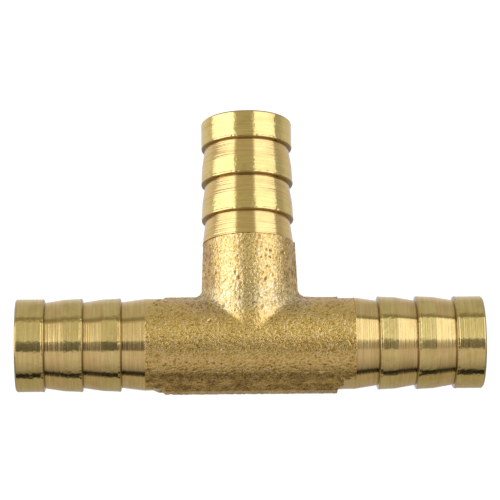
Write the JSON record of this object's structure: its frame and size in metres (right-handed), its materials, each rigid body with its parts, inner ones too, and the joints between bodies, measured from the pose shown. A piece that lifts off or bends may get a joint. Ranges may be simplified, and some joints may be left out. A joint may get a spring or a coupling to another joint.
{
  "type": "barbed tee connector",
  "caption": "Brass barbed tee connector for hose: a cast body with turned barbed tails along the run and on the branch, bored right through.",
  "frame": {"origin": "where the run's bore axis and the branch's bore axis cross", "axes": "+X along the run towards the right-hand tail, +Y along the branch towards its end, +Z normal to the plane of the tee"},
  "size_m": [0.065, 0.0391, 0.013],
  "materials": {
    "cast_brass": "as cast, shot-blasted",
    "turned_brass": "turned, fine tool marks"
  },
  "bodies": {
    "root": {"cast_body": "cast_brass", "run_barb_left": "turned_brass", "run_barb_right": "turned_brass", "branch_barb": "turned_brass"}
  },
  "joints": []
}
